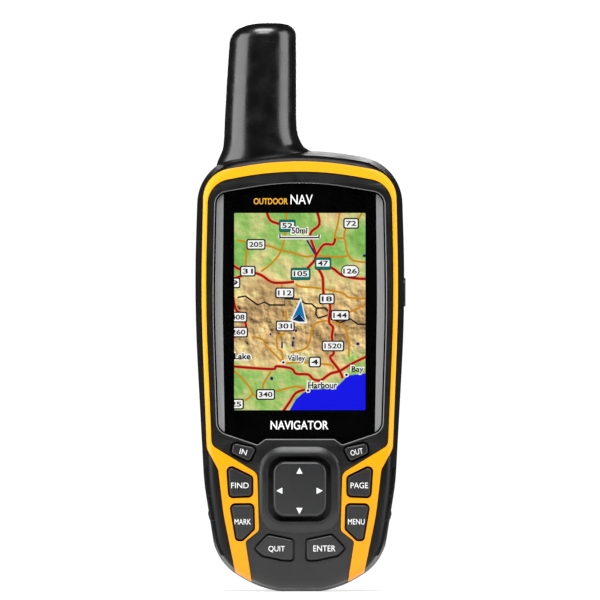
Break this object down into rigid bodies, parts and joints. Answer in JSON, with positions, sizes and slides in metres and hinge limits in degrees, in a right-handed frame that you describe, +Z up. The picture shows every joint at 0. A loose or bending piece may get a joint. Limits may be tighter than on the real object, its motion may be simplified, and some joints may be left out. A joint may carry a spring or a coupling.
{
  "type": "handheld gps unit",
  "caption": "Rugged handheld satellite-navigation receiver with stub antenna, colour screen, keypad with thumb rocker, yellow band, and a latched battery door.",
  "frame": {"origin": "middle of the small flat foot at the bottom of the housing", "axes": "+Z up to the antenna tip, -Y out of the screen, +X to the right of someone facing the screen"},
  "size_m": [0.059, 0.0352, 0.1599],
  "materials": {
    "case_black": "satin",
    "band_yellow": "satin",
    "bezel_grey": "fine texture",
    "antenna_black": "satin",
    "grip_rubber": "matte",
    "key_rubber": "matte",
    "window": "polished",
    "mask_black": "gloss",
    "strip_grey": "satin",
    "seal": "matte",
    "display": "matte",
    "steel": "brushed",
    "tin": "satin",
    "gold": "polished",
    "pcb": "satin",
    "chip": "matte",
    "cell_wrap": "satin",
    "inner_plastic": "matte",
    "label": "matte"
  },
  "bodies": {
    "housing": {"front_case": "case_black", "rear_case": "case_black", "yellow_trim": "band_yellow", "front_bezel": "bezel_grey", "antenna_cover": "antenna_black", "left_grip": "grip_rubber", "right_grip": "grip_rubber", "lens_window": "window", "lens_mask": "mask_black", "lens_side_strips": "strip_grey", "lens_adhesive": "seal", "mounting_spine": "case_black", "case_screws": "steel", "case_seal": "seal", "usb_socket": "tin", "mcx_socket": "gold", "port_board": "pcb", "board_header": "chip", "power_switch": "chip", "keypad_mat": "seal", "keypad_domes": "tin", "rocker_base": "inner_plastic", "main_board": "pcb", "board_screws": "steel", "shield_can": "tin", "board_chips": "chip", "buzzer": "chip", "lcd_panel": "display", "lcd_backlight": "inner_plastic", "lcd_frame": "tin", "lcd_flex": "inner_plastic", "battery_cell_left": "cell_wrap", "battery_cell_right": "cell_wrap", "battery_contacts": "tin", "battery_springs": "steel", "microsd_socket": "tin", "microsd_card": "chip", "antenna_former": "inner_plastic", "antenna_helix": "gold", "antenna_board": "pcb", "antenna_lead": "inner_plastic"},
    "door": {"battery_door": "case_black", "rear_label": "label", "door_seal": "seal"},
    "latch": {"latch_spindle": "steel"},
    "ring": {"d_ring": "steel"},
    "usb_flap": {"usb_cap": "key_rubber"},
    "antenna_port_flap": {"antenna_port_cap": "key_rubber"},
    "rocker_cross": {"rocker_pivot": "steel"},
    "rocker": {"rocker_key": "key_rubber"},
    "power_button": {"power_key": "key_rubber"},
    "in_button": {"in_key": "key_rubber"},
    "out_button": {"out_key": "key_rubber"},
    "find_button": {"find_key": "key_rubber"},
    "page_button": {"page_key": "key_rubber"},
    "mark_button": {"mark_key": "key_rubber"},
    "menu_button": {"menu_key": "key_rubber"},
    "quit_button": {"quit_key": "key_rubber"},
    "enter_button": {"enter_key": "key_rubber"}
  },
  "joints": [
    {"name": "in_press", "type": "slide", "parent": "housing", "child": "in_button", "axis": [0, 1, 0], "range_m": [0, 0.00045], "stiffness_N_per_m": 1500},
    {"name": "out_press", "type": "slide", "parent": "housing", "child": "out_button", "axis": [0, 1, 0], "range_m": [0, 0.00045], "stiffness_N_per_m": 1500},
    {"name": "find_press", "type": "slide", "parent": "housing", "child": "find_button", "axis": [0, 1, 0], "range_m": [0, 0.00045], "stiffness_N_per_m": 1500},
    {"name": "page_press", "type": "slide", "parent": "housing", "child": "page_button", "axis": [0, 1, 0], "range_m": [0, 0.00045], "stiffness_N_per_m": 1500},
    {"name": "mark_press", "type": "slide", "parent": "housing", "child": "mark_button", "axis": [0, 1, 0], "range_m": [0, 0.00045], "stiffness_N_per_m": 1500},
    {"name": "menu_press", "type": "slide", "parent": "housing", "child": "menu_button", "axis": [0, 1, 0], "range_m": [0, 0.00045], "stiffness_N_per_m": 1500},
    {"name": "quit_press", "type": "slide", "parent": "housing", "child": "quit_button", "axis": [0, 1, 0], "range_m": [0, 0.00045], "stiffness_N_per_m": 1500},
    {"name": "enter_press", "type": "slide", "parent": "housing", "child": "enter_button", "axis": [0, 1, 0], "range_m": [0, 0.00045], "stiffness_N_per_m": 1500},
    {"name": "power_press", "type": "slide", "parent": "housing", "child": "power_button", "axis": [-1, 0, 0], "range_m": [0, 0.0005], "stiffness_N_per_m": 1500},
    {"name": "rocker_up_down", "type": "hinge", "parent": "housing", "child": "rocker_cross", "pos_m": [0, -0.0116, 0.0288], "axis": [1, 0, 0], "range_deg": [-4, 4], "stiffness_Nm_per_rad": 0.12},
    {"name": "rocker_left_right", "type": "hinge", "parent": "rocker_cross", "child": "rocker", "pos_m": [0, -0.0116, 0.0288], "axis": [0, 0, 1], "range_deg": [-4, 4], "stiffness_Nm_per_rad": 0.12},
    {"name": "door_lift", "type": "slide", "parent": "housing", "child": "door", "axis": [0, 1, 0], "range_m": [0, 0.04]},
    {"name": "latch_turn", "type": "hinge", "parent": "door", "child": "latch", "pos_m": [0, 0.013, 0.0105], "axis": [0, 1, 0], "range_deg": [0, 90]},
    {"name": "ring_fold", "type": "hinge", "parent": "latch", "child": "ring", "pos_m": [0, 0.0164, 0.0105], "axis": [-1, 0, 0], "range_deg": [0, 95]},
    {"name": "usb_cap_hinge", "type": "hinge", "parent": "housing", "child": "usb_flap", "pos_m": [-0.0152, 0.0126, 0.0924], "axis": [-1, 0, 0], "range_deg": [0, 90]},
    {"name": "antenna_port_cap_hinge", "type": "hinge", "parent": "housing", "child": "antenna_port_flap", "pos_m": [0.015, 0.0126, 0.0924], "axis": [-1, 0, 0], "range_deg": [0, 90]}
  ]
}
